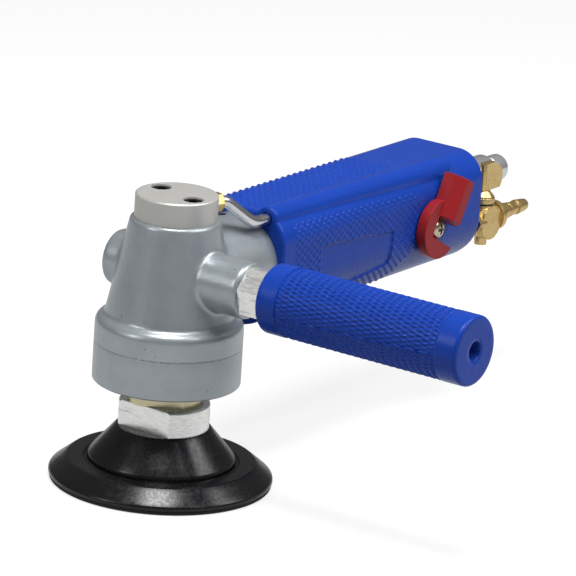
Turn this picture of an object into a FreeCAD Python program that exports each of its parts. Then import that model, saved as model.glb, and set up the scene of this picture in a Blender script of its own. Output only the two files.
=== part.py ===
import FreeCAD, Part
import math
import os

# Air-driven wet polisher: a vane motor in an upright head turns a rubber backing pad through a
# planetary gear, water runs down the hollow spindle, and air and water come in at the rear handle.
# Millimetres. +Z is up along the spindle, +X runs back along the main handle, and the side handle
# points to -Y. The origin is the centre of the pad's working face.

V = FreeCAD.Vector
AXIS_X = V(1, 0, 0)
AXIS_Y = V(0, 1, 0)
AXIS_Z = V(0, 0, 1)

# Clearances
fit_gap = 0.02          # pressed or screwed seats, per side
run_gap = 0.05          # turning fits, per side
face_gap = 0.4          # faces that turn past each other
mould_gap = 0.25        # moulded covers over metal
lever_gap = 0.7         # lever over the moulded sleeve

# Backing pad and hook face
pad_radius = 50.0
hook_thickness = 1.6
hook_inset = 0.5
rim_height = 2.0
bevel_radius = 42.0
bevel_height = 10.0
groove_width = 1.6
groove_depth = 1.2
pad_cone_base_radius = 33.0
pad_cone_lip = 1.4
pad_cone_top_radius = 21.0
pad_height = 25.5
pad_water_radius = 5.0

# Pad hub
hub_radius = 20.3
hub_across_flats = 30.0
hub_exposed = 11.8
hub_embed = 12.0
hub_flange_radius = 26.0
hub_flange_thickness = 3.0
hub_chamfer = 0.9
hub_water_radius = 4.0

# Spindle, its collar and the gear carrier
thread_radius = 7.0
thread_length = 17.0
spindle_radius = 10.0
spindle_bore_radius = 3.0
collar_radius = 17.0
collar_across_flats = 27.0
collar_flat_angle = 208.0
collar_exposed = 9.0
carrier_thickness = 4.0
carrier_edge = 2.6

# Ball bearings: bore radius, outer radius, width
spindle_bearing_outer_radius = 21.0
spindle_bearing_width = 12.0
rotor_bearing_outer_radius = 9.5
rotor_bearing_width = 5.0
race_thickness_share = 0.3
ball_count = 8

# Planetary gear
gear_module = 1.0
sun_teeth = 12
planet_teeth = 15
planet_count = 3
pressure_angle = 20.0
gear_addendum = 0.82
ring_addendum = 0.68
gear_dedendum = 1.2
gear_backlash = 0.12
gear_width = 8.0
planet_pin_radius = 2.5
ring_gear_wall = 5.7

# Head casting and clamp ring
head_radius = 33.0
clamp_ring_height = 17.95
clamp_lip = 3.3
clamp_spigot = 1.8
clamp_chamfer = 0.6
skirt_height = 12.45
shoulder_round = 4.5
cone_base_radius = 29.0
cone_top_radius = 20.1
cone_top_chamfer = 0.6
motor_roof = 7.7

# Vane motor
motor_radius = 19.0
end_plate_flange = 2.5
end_plate_flange_radius = 24.0
end_plate_thickness = 6.5
cylinder_length = 26.0
cylinder_bore_radius = 15.5
rotor_radius = 13.9
rotor_offset = 1.5
rotor_shaft_radius = 5.0
pinion_seat_radius = 4.0
rotor_bore_radius = 2.6
vane_count = 5
vane_thickness = 2.0
vane_height = 5.4
vane_tip_drop = 0.3
port_radius = 3.0

# Water cap on the head, with its screws and feed tube
cap_radius = 18.4
cap_height = 10.8
cap_chamfer = 0.6
cap_spigot_radius = 7.0
cap_spigot_length = 5.0
cap_chamber_radius = 3.6
o_ring_section = 0.65
cap_screw_circle = 11.5
cap_screw_angle = 74.0
cap_screw_radius = 2.5
cap_screw_head_radius = 4.2
cap_screw_head_height = 5.3
cap_screw_hex = 4.0
cap_screw_hex_depth = 2.6
cap_bore_radius = 4.6
cap_bore_depth = 6.0
feed_tube_radius = 2.0
feed_tube_wall = 0.6
feed_tube_end_depth = 4.0

# Water tube from the cap to the rear, and its brass elbow
tube_radius = 2.7
tube_wall = 0.6
elbow_angle = -20.0
elbow_across_flats = 8.0
elbow_length = 4.6
elbow_seat_depth = 4.5
elbow_seat_radius = 3.2
elbow_rise = 4.6
tube_lead = 10.0         # level run of the tube before the sleeve
tube_fall_gap = 1.5      # room between the tube and the valve block

# Side bosses and side handle
side_axis_height = 96.7
boss_radius = 12.75
boss_reach = 43.0
blank_boss_reach = 30.3
boss_edge = 1.0
stud_thread_radius = 6.0
stud_thread_length = 15.0
stud_across_flats = 21.0
stud_turn = 15.0
stud_hex_length = 12.3
stud_core_radius = 5.0
stud_core_length = 78.0
side_grip_length = 103.8
side_grip_radius = 15.2
side_grip_band_radius = 15.6
side_grip_inner_band = 10.5
side_grip_outer_band = 11.0
side_grip_edge = 1.6
side_grip_hole_radius = 4.3

# Neck of the casting and the tubes inside the main handle
handle_rise = 10.1       # handle axis above the motor's lower end plate
neck_radius = 22.9
neck_wall = 3.0
neck_end = 58.0
oil_plug_x = 42.0
oil_plug_angle = 13.0
oil_plug_radius = 1.8
oil_plug_length = 2.4
oil_plug_hex = 1.6
oil_plug_hex_depth = 1.2
handle_tube_radius = 17.5
handle_tube_wall = 2.0
handle_tube_seat = 8.0
air_pipe_y = -6.0
air_pipe_drop = 6.0
air_pipe_radius = 5.0
air_pipe_wall = 1.0
air_pipe_seat = 2.0
exhaust_y = 8.5
exhaust_drop = 6.0
exhaust_radius = 4.0

# Moulded handle sleeve, section sizes from the handle axis
sleeve_front = 48.0
sleeve_rear = 217.0
sleeve_half_width = 25.5
sleeve_belly_drop = 3.7
sleeve_top = 25.8
sleeve_corner = 14.0
sleeve_wall = 2.5
sleeve_web = 3.0
first_web = 78.0
second_web = 122.0
rear_taper_length = 8.0
rear_inset = 5.0
rear_corner_gain = 10.0  # the top corners open out as the rear end draws in
rib_y = -15.0
rib_rise = 23.2
rib_radius = 5.5
rib_swell = 1.3          # the rib is wider, lower and further out at its rear end
rib_sink = 2.4
rib_shift = 1.7
rib_inset = 27.0
rib_mouth_radius = 3.9
rib_mouth_depth = 5.0
panel_front = 79.0
panel_rear = 136.0
panel_front_top = 7.0
panel_rear_top = 2.2
panel_rear_bottom = -13.5
panel_front_bottom = -18.0
panel_depth = 0.6

# Valve block, throttle plug and lever
block_inset = 29.0
block_length = 42.0
block_radius = 19.0
block_spigot = 8.0
throttle_setback = 22.2
throttle_drop = 2.1
plug_radius = 8.0
plug_inner_y = 2.0
plug_outer_y = -17.0
plug_port_radius = 3.5
plug_stem_radius = 5.0
plug_seal_section = 0.7
plug_seal_inset = 3.0
lever_hub_radius = 14.0
lever_hub_thickness = 5.0
lever_tilt = 28.0
lever_tab_start = 5.2
lever_tab_reach = 26.0
lever_tab_half_width = 6.0
lever_tab_thickness = 9.8
lever_tab_bevel = 4.0
lever_notch_half = 5.2
lever_notch_front = 5.6
lever_seat_radius = 5.8
lever_seat_thickness = 1.6
lever_screw_radius = 2.5
lever_screw_length = 12.0
lever_screw_head_radius = 4.7
lever_screw_head_height = 3.0
lever_screw_slot_width = 1.8
lever_screw_slot_length = 6.4
lever_screw_slot_depth = 2.0

# Air inlet at the rear
inlet_y = -3.0
inlet_rise = 5.7
inlet_bore_radius = 4.0
inlet_thread_radius = 6.6
inlet_thread_depth = 11.0
inlet_collar_radius = 8.5
inlet_collar_length = 27.6
inlet_groove_length = 4.0
inlet_groove_radius = 5.0
nipple_radius = 6.5
nipple_length = 9.6
nipple_edge = 0.8
nipple_seat = 8.0
nipple_bore_radius = 3.2
strainer_length = 10.0
strainer_wall = 0.8

# Exhaust muffler in the sleeve's rear wall
muffler_radius = 6.5
muffler_flange = 1.0
muffler_flange_thickness = 1.2
muffler_recess_radius = 4.8
muffler_recess_depth = 0.8

# Water cock at the rear
cock_reach = 10.5
cock_y = -15.5
cock_drop = 11.6
cock_body_radius = 8.2
cock_body_length = 11.4
cock_body_drop = 1.0
cock_tail_length = 6.0
cock_bore_radius = 2.2
cock_tail_across_flats = 11.0
cock_tube_socket = 2.0
cock_outlet_radius = 5.0
cock_outlet_reach = 11.0
cock_flange_radius = 7.3
cock_flange_width = 3.0
cock_stub_radius = 3.0
cock_stub_reach = 12.4
cock_boss_radius = 5.3
cock_boss_reach = 7.4
cock_seal_thickness = 0.9
cock_seal_radius = 4.8
cock_gland_radius = 5.4
cock_gland_height = 2.8
cock_plug_radius = 3.6
cock_plug_drop = 5.0
cock_stem_radius = 2.8
cock_skirt_radius = 5.0
cock_neck_height = 3.0
cock_wing_height = 13.3
cock_wing_thickness = 3.8
cock_wing_long = 12.4
cock_wing_short = 3.4
cock_wing_foot = 10.6
cock_wing_shoulder = 10.4

# Hose barb on the cock
barb_seat_radius = 3.4
barb_seat_depth = 2.5
barb_root_radius = 3.9
barb_root_length = 9.5
barb_neck_radius = 2.8
barb_neck_length = 0.8
barb_land_radius = 3.6
barb_land_length = 1.4
barb_taper_radius = 3.1
barb_taper_length = 5.0
barb_count = 2
barb_nose_length = 2.0

# Derived levels along the spindle
hub_top = pad_height + hub_exposed
hub_bottom = pad_height - hub_embed
case_bottom = hub_top + collar_exposed
bearing_bottom = case_bottom + clamp_lip
bearing_top = bearing_bottom + spindle_bearing_width
carrier_top = bearing_top + carrier_thickness
case_split = case_bottom + clamp_ring_height
gear_bottom = carrier_top + face_gap
gear_top = gear_bottom + gear_width
ring_gear_bottom = case_split + clamp_spigot
ring_gear_top = gear_top + face_gap
plate_top = ring_gear_top + end_plate_thickness
cylinder_top = plate_top + cylinder_length
motor_top = cylinder_top + end_plate_thickness
head_top = motor_top + motor_roof
shoulder_top = case_split + skirt_height
cap_top = head_top + cap_height

# Derived gear sizes
ring_teeth = sun_teeth + 2 * planet_teeth
sun_pitch_radius = gear_module * sun_teeth / 2
planet_pitch_radius = gear_module * planet_teeth / 2
ring_pitch_radius = gear_module * ring_teeth / 2
planet_orbit = sun_pitch_radius + planet_pitch_radius
ring_gear_radius = ring_pitch_radius + gear_dedendum * gear_module + ring_gear_wall
carrier_radius = planet_orbit + planet_pin_radius + carrier_edge

# Derived places along the handles
handle_axis_height = plate_top + handle_rise
rib_end = sleeve_rear - rib_inset
block_rear = sleeve_rear - block_inset
block_front = block_rear - block_length
throttle_x = block_front + throttle_setback
cock_x = sleeve_rear + cock_reach
stud_face = -boss_reach
grip_face = stud_face - stud_hex_length
neck_cavity_front = end_plate_flange_radius + neck_wall
neck_cavity_rear = neck_end - handle_tube_seat
throttle_height = handle_axis_height - throttle_drop
inlet_height = handle_axis_height + inlet_rise
cock_height = handle_axis_height - cock_drop
tube_height = handle_axis_height + rib_rise
air_pipe_height = handle_axis_height - air_pipe_drop
exhaust_height = handle_axis_height - exhaust_drop
sleeve_inner_rear = sleeve_rear - rear_taper_length
tube_fall_x = block_rear + tube_radius + tube_fall_gap
lever_inner_y = -sleeve_half_width - lever_gap
lever_seat_y = lever_inner_y - lever_seat_thickness
collar_end = sleeve_rear + inlet_collar_length
barb_start = cock_x + cock_outlet_reach


def wire(start, *steps):
    """Closed wire from points; a step of two points is an arc through the first to the second."""
    edges = []
    here = start
    for step in steps + (start,):
        if isinstance(step, tuple):
            edges.append(Part.Arc(here, step[0], step[1]).toShape())
            here = step[1]
        elif (step - here).Length > 1e-7:
            edges.append(Part.LineSegment(here, step).toShape())
            here = step
    return Part.Wire(edges)


def turned(*profile):
    """Solid of revolution about Z from (radius, height) points; a pair of them is an arc."""
    def place(p):
        if isinstance(p[0], tuple):
            return (V(p[0][0], 0, p[0][1]), V(p[1][0], 0, p[1][1]))
        return V(p[0], 0, p[1])
    points = [place(p) for p in profile]
    return Part.Face(wire(*points)).revolve(V(0, 0, 0), AXIS_Z, 360)


def rod(radius, start, end):
    """Cylinder between two points."""
    return Part.makeCylinder(radius, (end - start).Length, start, end - start)


def tube(outer, inner, start, end):
    return rod(outer, start, end).cut(rod(inner, start, end))


def hexagon(across_flats, start, end):
    """Hexagonal bar between two points, one flat square to the vertical or to X."""
    axis = (end - start).normalize()
    side = AXIS_Z if abs(axis.dot(AXIS_Z)) < 0.5 else AXIS_X
    across = axis.cross(side)
    corner = across_flats / 2 / math.cos(math.pi / 6)
    points = []
    for k in range(6):
        angle = math.pi / 6 + k * math.pi / 3
        points.append(start + side * corner * math.cos(angle) + across * corner * math.sin(angle))
    return Part.Face(wire(*points)).extrude(end - start)


def around(shape, count, start_angle=0.0):
    """Copies of a shape evenly spaced about the spindle axis."""
    made = []
    for k in range(count):
        copy = shape.copy()
        copy.rotate(V(0, 0, 0), AXIS_Z, start_angle + 360.0 * k / count)
        made.append(copy)
    return made


def flats(across, low, high, reach, angle):
    """Two blocks that leave a pair of flats on a round bar along Z."""
    made = []
    for turn in (angle, angle + 180):
        block = Part.makeBox(reach, 2 * reach, high - low, V(across / 2, -reach, low))
        block.rotate(V(0, 0, 0), AXIS_Z, turn)
        made.append(block)
    return made


def piped(points, radius, bends):
    """Round bar along straight runs joined by tangent arcs, one bend radius per inner point."""
    edges = []
    here = points[0]
    for k in range(1, len(points) - 1):
        before = (points[k - 1] - points[k]).normalize()
        after = (points[k + 1] - points[k]).normalize()
        half_turn = (math.pi - before.getAngle(after)) / 2
        reach = bends[k - 1] * math.tan(half_turn)
        bisector = (before + after).normalize()
        middle = points[k] + bisector * (bends[k - 1] / math.cos(half_turn) - bends[k - 1])
        edges.append(Part.LineSegment(here, points[k] + before * reach).toShape())
        here = points[k] + after * reach
        edges.append(Part.Arc(points[k] + before * reach, middle, here).toShape())
    edges.append(Part.LineSegment(here, points[-1]).toShape())
    path = Part.Wire(edges)
    section = Part.Wire([Part.Circle(points[0], points[1] - points[0], radius).toShape()])
    return path.makePipeShell([section], True, False)


# Gears

def involute(angle):
    return math.tan(angle) - angle


def gear_outline(teeth, tip, root, play, height):
    """Closed gear outline with a tooth on +X. The play thins each tooth at the pitch line."""
    pitch = gear_module * teeth / 2
    pressure = math.radians(pressure_angle)
    base = pitch * math.cos(pressure)
    foot = max(base, root)
    half_pitch = math.pi / (2 * teeth) - play / (2 * pitch)

    def half_angle(radius):
        return half_pitch + involute(pressure) - involute(math.acos(min(1, base / radius)))

    def at(radius, angle):
        return V(radius * math.cos(angle), radius * math.sin(angle), height)
    middle = (foot + tip) / 2
    steps = []
    for k in range(teeth):
        c = 2 * math.pi * k / teeth
        gap = c + math.pi / teeth
        steps.append(at(root, c - half_angle(foot)))
        if foot > root:
            steps.append(at(foot, c - half_angle(foot)))
        steps.append((at(middle, c - half_angle(middle)), at(tip, c - half_angle(tip))))
        steps.append((at(tip, c), at(tip, c + half_angle(tip))))
        steps.append((at(middle, c + half_angle(middle)), at(foot, c + half_angle(foot))))
        if foot > root:
            steps.append(at(root, c + half_angle(foot)))
        steps.append((at(root, gap), at(root, gap + math.pi / teeth - half_angle(foot))))
    return wire(*steps[:-1], (steps[-1][0], steps[0]))


def outer_gear(teeth, bore):
    pitch = gear_module * teeth / 2
    tip = pitch + gear_addendum * gear_module
    root = pitch - gear_dedendum * gear_module
    outline = gear_outline(teeth, tip, root, gear_backlash, gear_bottom)
    body = Part.Face(outline).extrude(AXIS_Z * gear_width)
    return body.cut(Part.makeCylinder(bore, gear_width, V(0, 0, gear_bottom)))


def ring_gear():
    outer = Part.makeCylinder(ring_gear_radius, ring_gear_top - ring_gear_bottom, V(0, 0, ring_gear_bottom))
    space_tip = ring_pitch_radius + gear_dedendum * gear_module
    space_root = ring_pitch_radius - ring_addendum * gear_module
    space = gear_outline(ring_teeth, space_tip, space_root, -gear_backlash, ring_gear_bottom)
    return outer.cut(Part.Face(space).extrude(AXIS_Z * (ring_gear_top - ring_gear_bottom)))


def planet_gear(index):
    gear = outer_gear(planet_teeth, planet_pin_radius + run_gap)
    gear.translate(V(planet_orbit, 0, 0))
    return around(gear, planet_count)[index]


def sun_gear():
    return outer_gear(sun_teeth, pinion_seat_radius + fit_gap)


def planet_pins():
    pin = Part.makeCylinder(planet_pin_radius, gear_top - bearing_top, V(planet_orbit, 0, bearing_top))
    return Part.makeCompound(around(pin, planet_count))


# Bearings

def race_depth(bore, outer):
    return (outer - bore) * race_thickness_share


def bearing_outer(bore, outer, low, width):
    """Outer race with its ring of balls, in line with the spindle."""
    depth = race_depth(bore, outer)
    race = turned((outer - depth, low), (outer, low), (outer, low + width), (outer - depth, low + width))
    ball_radius = (outer - bore - 2 * depth) / 2 - fit_gap
    ball = Part.makeSphere(ball_radius, V((outer + bore) / 2, 0, low + width / 2))
    return Part.makeCompound([race] + around(ball, ball_count))


def bearing_inner(bore, outer, low, width):
    depth = race_depth(bore, outer)
    return turned((bore, low), (bore + depth, low), (bore + depth, low + width), (bore, low + width))


def spindle_bearing(part):
    bore = spindle_radius + fit_gap
    outer = spindle_bearing_outer_radius - fit_gap
    return part(bore, outer, bearing_bottom, spindle_bearing_width)


def rotor_bearing(part, low):
    bore = rotor_shaft_radius + fit_gap
    outer = rotor_bearing_outer_radius - fit_gap
    return part(bore, outer, low, rotor_bearing_width)


# Pad and spindle

def hook_face():
    outer = pad_radius - hook_inset
    return turned((pad_water_radius, 0), (outer, 0), (outer, hook_thickness), (pad_water_radius, hook_thickness))


def hub_blank():
    """Round hub with the flange that the rubber is moulded over."""
    flange_top = hub_bottom + hub_flange_thickness
    return turned(
        (0, hub_bottom), (hub_flange_radius, hub_bottom), (hub_flange_radius, flange_top),
        (hub_radius, flange_top), (hub_radius, hub_top - hub_chamfer),
        (hub_radius - hub_chamfer, hub_top), (0, hub_top))


def hub_body():
    """Hub with its two flats, which run down into the rubber as far as the flange."""
    flat_bottom = hub_bottom + hub_flange_thickness
    return hub_blank().cut(flats(hub_across_flats, flat_bottom, hub_top, 2 * hub_flange_radius, 0))


def pad_hub():
    thread = Part.makeCylinder(thread_radius + fit_gap, thread_length, V(0, 0, hub_top - thread_length))
    water = Part.makeCylinder(hub_water_radius, hub_top, V(0, 0, 0))
    return hub_body().cut([thread, water])


def backing_pad():
    rim_top = hook_thickness + rim_height
    groove_floor = bevel_height - groove_depth
    pad = turned(
        (pad_water_radius, hook_thickness), (pad_radius, hook_thickness), (pad_radius, rim_top),
        (bevel_radius, bevel_height), (pad_cone_base_radius + groove_width, bevel_height),
        (pad_cone_base_radius + groove_width, groove_floor), (pad_cone_base_radius, groove_floor),
        (pad_cone_base_radius, bevel_height + pad_cone_lip), (pad_cone_top_radius, pad_height),
        (pad_water_radius, pad_height))
    return pad.cut(hub_body())


def spindle():
    thread_end = hub_top - thread_length
    body = turned(
        (spindle_bore_radius, thread_end), (thread_radius, thread_end), (thread_radius, hub_top),
        (spindle_radius, hub_top), (spindle_radius, bearing_top), (carrier_radius, bearing_top),
        (carrier_radius, carrier_top), (spindle_bore_radius, carrier_top))
    seat = Part.makeCylinder(
        planet_pin_radius + fit_gap, carrier_thickness, V(planet_orbit, 0, bearing_top))
    return body.cut(around(seat, planet_count))


def spindle_collar():
    """Brass collar with two flats; its narrow top bears on the bearing's inner race."""
    inner = spindle_radius + fit_gap
    shoulder = spindle_radius + race_depth(spindle_radius, spindle_bearing_outer_radius)
    ring = turned(
        (inner, hub_top), (collar_radius, hub_top), (collar_radius, bearing_bottom - clamp_lip / 2),
        (shoulder, bearing_bottom - clamp_lip / 2), (shoulder, bearing_bottom), (inner, bearing_bottom))
    flat_top = case_bottom - face_gap
    return ring.cut(flats(collar_across_flats, hub_top, flat_top, 2 * collar_radius, collar_flat_angle))


def clamp_ring():
    lip_radius = collar_radius + face_gap
    spigot = ring_gear_radius - mould_gap
    planet_reach = planet_orbit + planet_pitch_radius + gear_addendum * gear_module
    gear_room = max(carrier_radius, planet_reach, spindle_bearing_outer_radius) + face_gap
    return turned(
        (lip_radius, case_bottom), (head_radius - clamp_chamfer, case_bottom),
        (head_radius, case_bottom + clamp_chamfer), (head_radius, case_split),
        (spigot, case_split), (spigot, ring_gear_bottom), (gear_room, ring_gear_bottom),
        (gear_room, bearing_top), (spindle_bearing_outer_radius, bearing_top),
        (spindle_bearing_outer_radius, bearing_bottom), (lip_radius, bearing_bottom))


# Vane motor

def lower_end_plate():
    flange_top = ring_gear_top + end_plate_flange
    seat_top = ring_gear_top + rotor_bearing_width
    shaft = rotor_shaft_radius + face_gap
    return turned(
        (rotor_bearing_outer_radius, ring_gear_top), (end_plate_flange_radius, ring_gear_top),
        (end_plate_flange_radius, flange_top), (motor_radius, flange_top), (motor_radius, plate_top),
        (shaft, plate_top), (shaft, seat_top), (rotor_bearing_outer_radius, seat_top))


def upper_end_plate():
    seat_bottom = motor_top - rotor_bearing_width
    shaft = rotor_shaft_radius + face_gap
    return turned(
        (shaft, cylinder_top), (motor_radius, cylinder_top), (motor_radius, motor_top),
        (rotor_bearing_outer_radius, motor_top), (rotor_bearing_outer_radius, seat_bottom),
        (shaft, seat_bottom))


def motor_cylinder():
    outer = Part.makeCylinder(motor_radius, cylinder_length, V(0, 0, plate_top))
    bore = Part.makeCylinder(cylinder_bore_radius, cylinder_length, V(0, rotor_offset, plate_top))
    intake = rod(port_radius, V(0, air_pipe_y, air_pipe_height), V(motor_radius, air_pipe_y, air_pipe_height))
    exhaust = rod(port_radius, V(0, exhaust_y, exhaust_height), V(motor_radius, exhaust_y, exhaust_height))
    return outer.cut([bore, intake, exhaust])


def vane_box(thickness, inner, outer, low, high):
    return Part.makeBox(outer - inner, thickness, high - low, V(inner, -thickness / 2, low))


def rotor():
    low = plate_top + face_gap
    high = cylinder_top - face_gap
    shaft_end = motor_top - face_gap
    body = turned(
        (rotor_bore_radius, gear_bottom), (pinion_seat_radius, gear_bottom),
        (pinion_seat_radius, gear_top), (rotor_shaft_radius, gear_top), (rotor_shaft_radius, low),
        (rotor_radius, low), (rotor_radius, high), (rotor_shaft_radius, high),
        (rotor_shaft_radius, shaft_end), (rotor_bore_radius, shaft_end))
    slot_floor = rotor_radius - vane_tip_drop - vane_height - run_gap
    slot = vane_box(vane_thickness + 2 * run_gap, slot_floor, 2 * rotor_radius, low, high)
    return body.cut(around(slot, vane_count))


def rotor_vanes():
    low = plate_top + face_gap
    high = cylinder_top - face_gap
    outer = rotor_radius - vane_tip_drop
    vane = vane_box(vane_thickness, outer - vane_height, outer, low, high)
    return Part.makeCompound(around(vane, vane_count))


# Head casting

def along_x(radius, y, z, x0, x1):
    return rod(radius, V(x0, y, z), V(x1, y, z))


def boss(reach):
    """Side boss along Y with a broken edge; a negative reach points to -Y."""
    sign = math.copysign(1, reach)
    start = V(0, 0, side_axis_height)
    knee = V(0, reach - sign * boss_edge, side_axis_height)
    nose = Part.makeCone(boss_radius, boss_radius - boss_edge, boss_edge, knee, AXIS_Y * sign)
    return rod(boss_radius, start, knee).fuse(nose)


def cap_screw_places():
    places = []
    for turn in (cap_screw_angle, cap_screw_angle + 180):
        a = math.radians(turn)
        places.append(V(cap_screw_circle * math.cos(a), cap_screw_circle * math.sin(a), 0))
    return places


def head_blank():
    k = shoulder_round * (1 - math.sqrt(0.5))
    return turned(
        (0, case_split), (head_radius, case_split), (head_radius, shoulder_top - shoulder_round),
        ((head_radius - k, shoulder_top - k), (head_radius - shoulder_round, shoulder_top)),
        (cone_base_radius, shoulder_top), (cone_top_radius, head_top - cone_top_chamfer),
        (cone_top_radius - cone_top_chamfer, head_top), (0, head_top))


def motor_bore():
    flange_top = ring_gear_top + end_plate_flange
    flange = end_plate_flange_radius + fit_gap
    barrel = motor_radius + fit_gap
    spigot = cap_spigot_radius + fit_gap
    return turned(
        (0, case_split), (ring_gear_radius + fit_gap, case_split), (ring_gear_radius + fit_gap, ring_gear_top),
        (flange, ring_gear_top), (flange, flange_top), (barrel, flange_top), (barrel, motor_top),
        (spigot, motor_top), (spigot, head_top), (0, head_top))


def oil_plug_axis():
    a = math.radians(oil_plug_angle)
    return V(0, math.sin(a), math.cos(a))


def oil_plug_place(reach):
    return V(oil_plug_x, 0, handle_axis_height) + oil_plug_axis() * reach


def oil_plug():
    """Socket plug, flush with the top of the neck."""
    low = oil_plug_place(neck_radius - oil_plug_length)
    high = oil_plug_place(neck_radius)
    key = hexagon(oil_plug_hex, oil_plug_place(neck_radius - oil_plug_hex_depth), high)
    return rod(oil_plug_radius, low, high).cut(key)


def motor_housing():
    neck = along_x(neck_radius, 0, handle_axis_height, 0, neck_end)
    casting = head_blank().fuse([neck, boss(-boss_reach), boss(blank_boss_reach)])
    cavity = along_x(neck_radius - neck_wall, 0, handle_axis_height, neck_cavity_front, neck_cavity_rear)
    tube_seat = along_x(handle_tube_radius + fit_gap, 0, handle_axis_height, neck_cavity_rear, neck_end)
    pipe_seat = along_x(
        air_pipe_radius + fit_gap, air_pipe_y, air_pipe_height,
        neck_cavity_front - air_pipe_seat, neck_cavity_front)
    intake = along_x(port_radius, air_pipe_y, air_pipe_height, 0, neck_cavity_front)
    exhaust = along_x(port_radius, exhaust_y, exhaust_height, 0, neck_cavity_front)
    stud_hole = rod(
        stud_thread_radius + fit_gap, V(0, stud_face + stud_thread_length + face_gap, side_axis_height),
        V(0, stud_face, side_axis_height))
    oil_hole = rod(
        oil_plug_radius + fit_gap, oil_plug_place(neck_radius - 2 * neck_wall), oil_plug_place(neck_radius + neck_wall))
    cuts = [motor_bore(), cavity, tube_seat, pipe_seat, intake, exhaust, stud_hole, oil_hole]
    for p in cap_screw_places():
        cuts.append(Part.makeCylinder(cap_screw_radius + fit_gap, motor_roof, p + V(0, 0, motor_top)))
    return casting.cut(cuts).removeSplitter()


# Water cap

def elbow_axis():
    a = math.radians(elbow_angle)
    return V(math.cos(a), math.sin(a), 0)


def elbow_start():
    return V(0, 0, head_top + elbow_rise)


def o_ring_height():
    return head_top - cap_spigot_length / 2


def water_cap():
    spigot_bottom = head_top - cap_spigot_length
    groove = cap_spigot_radius - 2 * o_ring_section
    low = o_ring_height() - o_ring_section
    high = o_ring_height() + o_ring_section
    cap = turned(
        (0, spigot_bottom), (cap_spigot_radius, spigot_bottom), (cap_spigot_radius, low), (groove, low),
        (groove, high), (cap_spigot_radius, high), (cap_spigot_radius, head_top), (cap_radius, head_top),
        (cap_radius, cap_top - cap_chamfer), (cap_radius - cap_chamfer, cap_top), (0, cap_top))
    chamber_low = elbow_start() - AXIS_Z * cap_chamber_radius
    chamber = rod(cap_chamber_radius, chamber_low, chamber_low + AXIS_Z * 2 * cap_chamber_radius)
    feed = rod(feed_tube_radius + fit_gap, V(0, 0, spigot_bottom), chamber_low)
    axis = elbow_axis()
    seat = rod(elbow_seat_radius + fit_gap, elbow_start() + axis * (cap_radius - elbow_seat_depth),
               elbow_start() + axis * (cap_radius + elbow_seat_depth))
    drill = rod(tube_radius - tube_wall, elbow_start(), elbow_start() + axis * cap_radius)
    cuts = [feed, chamber, seat, drill]
    for p in cap_screw_places():
        cuts.append(Part.makeCylinder(cap_screw_radius + run_gap, cap_height, p + V(0, 0, head_top)))
        cuts.append(Part.makeCylinder(cap_bore_radius, cap_bore_depth, p + V(0, 0, cap_top - cap_bore_depth)))
    return cap.cut(cuts)


def cap_screws():
    made = []
    seat = cap_top - cap_bore_depth
    shank_low = motor_top + face_gap
    for p in cap_screw_places():
        shank = Part.makeCylinder(cap_screw_radius, seat - shank_low, p + V(0, 0, shank_low))
        head = Part.makeCylinder(cap_screw_head_radius, cap_screw_head_height, p + V(0, 0, seat))
        top = p + V(0, 0, seat + cap_screw_head_height)
        key = hexagon(cap_screw_hex, top - AXIS_Z * cap_screw_hex_depth, top)
        made.append(shank.fuse(head).removeSplitter().cut(key))
    return Part.makeCompound(made)


def cap_o_ring():
    middle = cap_spigot_radius - o_ring_section
    return Part.makeTorus(middle, o_ring_section - fit_gap, V(0, 0, o_ring_height()))


def water_feed_tube():
    low = V(0, 0, carrier_top - feed_tube_end_depth)
    high = elbow_start() - AXIS_Z * cap_chamber_radius
    return tube(feed_tube_radius, feed_tube_radius - feed_tube_wall, low, high)


def water_elbow():
    axis = elbow_axis()
    face = elbow_start() + axis * cap_radius
    nut = hexagon(elbow_across_flats, face, face + axis * elbow_length)
    shank = rod(elbow_seat_radius, face - axis * (elbow_seat_depth - fit_gap), face)
    socket = rod(tube_radius + fit_gap, face, face + axis * elbow_length)
    drill = rod(tube_radius - tube_wall, face - axis * elbow_seat_depth, face)
    return nut.fuse(shank).removeSplitter().cut([socket, drill])


def water_line(radius):
    """Round bar along the water's way: from the elbow, through the sleeve's rib, down to the cock's tail."""
    axis = elbow_axis()
    route = [
        elbow_start() + axis * (cap_radius + fit_gap),
        elbow_start() + axis * (cap_radius + elbow_length + tube_radius),
        V(sleeve_front - tube_lead, rib_y, tube_height),
        V(tube_fall_x, rib_y, tube_height),
        V(tube_fall_x, cock_y, cock_height),
        V(sleeve_rear + cock_tube_socket - fit_gap, cock_y, cock_height)]
    bends = [2 * tube_radius, 4 * tube_radius, 3 * tube_radius, 3 * tube_radius]
    return piped(route, radius, bends)


def water_tube():
    return water_line(tube_radius).cut(water_line(tube_radius - tube_wall))


# Side handle

def side_handle_stud():
    face = V(0, stud_face, side_axis_height)
    grip = V(0, grip_face, side_axis_height)
    thread = rod(stud_thread_radius, face + AXIS_Y * stud_thread_length, face)
    bar = hexagon(stud_across_flats, face, grip)
    bar.rotate(face, AXIS_Y, stud_turn)
    core = rod(stud_core_radius, grip, grip - AXIS_Y * stud_core_length)
    return thread.fuse([bar, core]).removeSplitter()


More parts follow.
